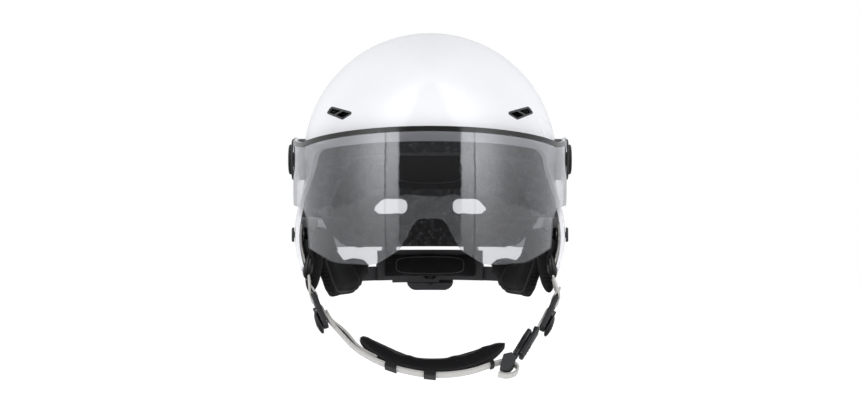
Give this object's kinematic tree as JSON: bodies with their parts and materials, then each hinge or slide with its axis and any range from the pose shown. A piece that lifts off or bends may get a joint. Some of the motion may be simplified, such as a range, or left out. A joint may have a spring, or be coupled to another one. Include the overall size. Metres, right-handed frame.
{
  "type": "visored helmet",
  "caption": "White snow-sports helmet with a lift-up smoke visor, fit dial, ear pads and a padded chin strap.",
  "frame": {"origin": "middle of the head cavity, on the visor's pivot axis", "axes": "+Z to the crown, -Y to the face, +X to the wearer's left"},
  "size_m": [0.2252, 0.2752, 0.2769],
  "materials": {
    "shell_white": "glossy white moulded skin",
    "foam_grey": "bead foam",
    "black_plastic": "moulded black plastic",
    "lens_smoke": "tinted, lightly mirrored",
    "black_rubber": "soft trim",
    "black_fabric": "brushed lining cloth",
    "mesh_fabric": "perforated spacer mesh",
    "webbing": "woven webbing",
    "steel": "plated"
  },
  "bodies": {
    "root": {"brow_pad": "black_fabric", "buckle_base": "black_plastic", "buckle_magnet_base": "steel", "crown_pad": "black_fabric", "dial_housing": "black_plastic", "divider_pin_left": "steel", "divider_pin_right": "steel", "ear_pad_left": "mesh_fabric", "ear_pad_right": "mesh_fabric", "ear_pad_stud_left": "black_plastic", "ear_pad_stud_right": "black_plastic", "foam_liner": "foam_grey", "front_strap_left": "webbing", "front_strap_right": "webbing", "front_vent_left": "black_plastic", "front_vent_right": "black_plastic", "lower_strap_left": "webbing", "nape_pad": "black_fabric", "nape_yoke": "black_plastic", "outer_shell": "shell_white", "pivot_mount_left": "black_plastic", "pivot_mount_right": "black_plastic", "pivot_nut_left": "black_plastic", "pivot_nut_right": "black_plastic", "pivot_washer_left": "black_rubber", "pivot_washer_right": "black_rubber", "rear_pad": "black_fabric", "rear_strap_left": "webbing", "rear_strap_right": "webbing", "rivet_washers_left": "steel", "rivet_washers_right": "steel", "rivets_left": "black_plastic", "rivets_right": "black_plastic", "side_pad_left": "black_fabric", "side_pad_right": "black_fabric", "strap_divider_left": "black_plastic", "strap_divider_right": "black_plastic"},
    "visor": {"visor_lens": "lens_smoke", "visor_top_trim": "black_rubber", "pivot_cover_left": "black_plastic", "pivot_cover_right": "black_plastic"},
    "knob_left": {"pivot_knob_left": "black_plastic"},
    "knob_right": {"pivot_knob_right": "black_plastic"},
    "dial": {"dial_knob": "black_plastic", "dial_pinion": "black_plastic"},
    "band_left": {"rack_band_left": "black_plastic"},
    "band_right": {"rack_band_right": "black_plastic"},
    "lever_left": {"divider_lever_left": "black_plastic"},
    "lever_right": {"divider_lever_right": "black_plastic"},
    "chin_set": {"buckle_slide": "black_plastic", "buckle_magnet_slide": "steel", "strap_lock": "black_plastic", "chin_strap": "webbing", "chin_pad": "black_fabric", "pad_loop_right": "black_fabric", "pad_loop_middle": "black_fabric", "strap_keeper": "black_rubber"}
  },
  "joints": [
    {"name": "visor_lift", "type": "hinge", "parent": "root", "child": "visor", "pos_m": [0, 0, 0], "axis": [-1, 0, 0], "range_deg": [0, 56]},
    {"name": "knob_turn_left", "type": "hinge", "parent": "root", "child": "knob_left", "pos_m": [0.1, 0, 0], "axis": [1, 0, 0], "range_deg": [0, 90]},
    {"name": "knob_turn_right", "type": "hinge", "parent": "root", "child": "knob_right", "pos_m": [-0.1, 0, 0], "axis": [1, 0, 0], "range_deg": [-90, 0]},
    {"name": "dial_turn", "type": "hinge", "parent": "root", "child": "dial", "pos_m": [0, 0.12, -0.095], "axis": [0, -1, 0], "range_deg": [0, 150]},
    {"name": "band_slide_left", "type": "hinge", "parent": "root", "child": "band_left", "pos_m": [0, 0.04, -0.095], "axis": [0, 0, 1], "range_deg": [0, 8]},
    {"name": "band_slide_right", "type": "hinge", "parent": "root", "child": "band_right", "pos_m": [0, 0.04, -0.095], "axis": [0, 0, 1], "range_deg": [-8, 0]},
    {"name": "buckle_release", "type": "slide", "parent": "root", "child": "chin_set", "axis": [0, -0.9511, 0.309], "range_m": [0, 0.014]},
    {"name": "lever_open_left", "type": "hinge", "parent": "root", "child": "lever_left", "pos_m": [0.09706, -0.0102, -0.12491], "axis": [0, -0.9511, 0.309], "range_deg": [0, 75]},
    {"name": "lever_open_right", "type": "hinge", "parent": "root", "child": "lever_right", "pos_m": [-0.09013, -0.0094, -0.12245], "axis": [0, 0.9511, -0.309], "range_deg": [0, 75]}
  ],
  "couplings": [
    {"joint": "band_slide_left", "follows": "dial_turn", "ratio": 0.05256},
    {"joint": "band_slide_right", "follows": "dial_turn", "ratio": -0.05256}
  ]
}
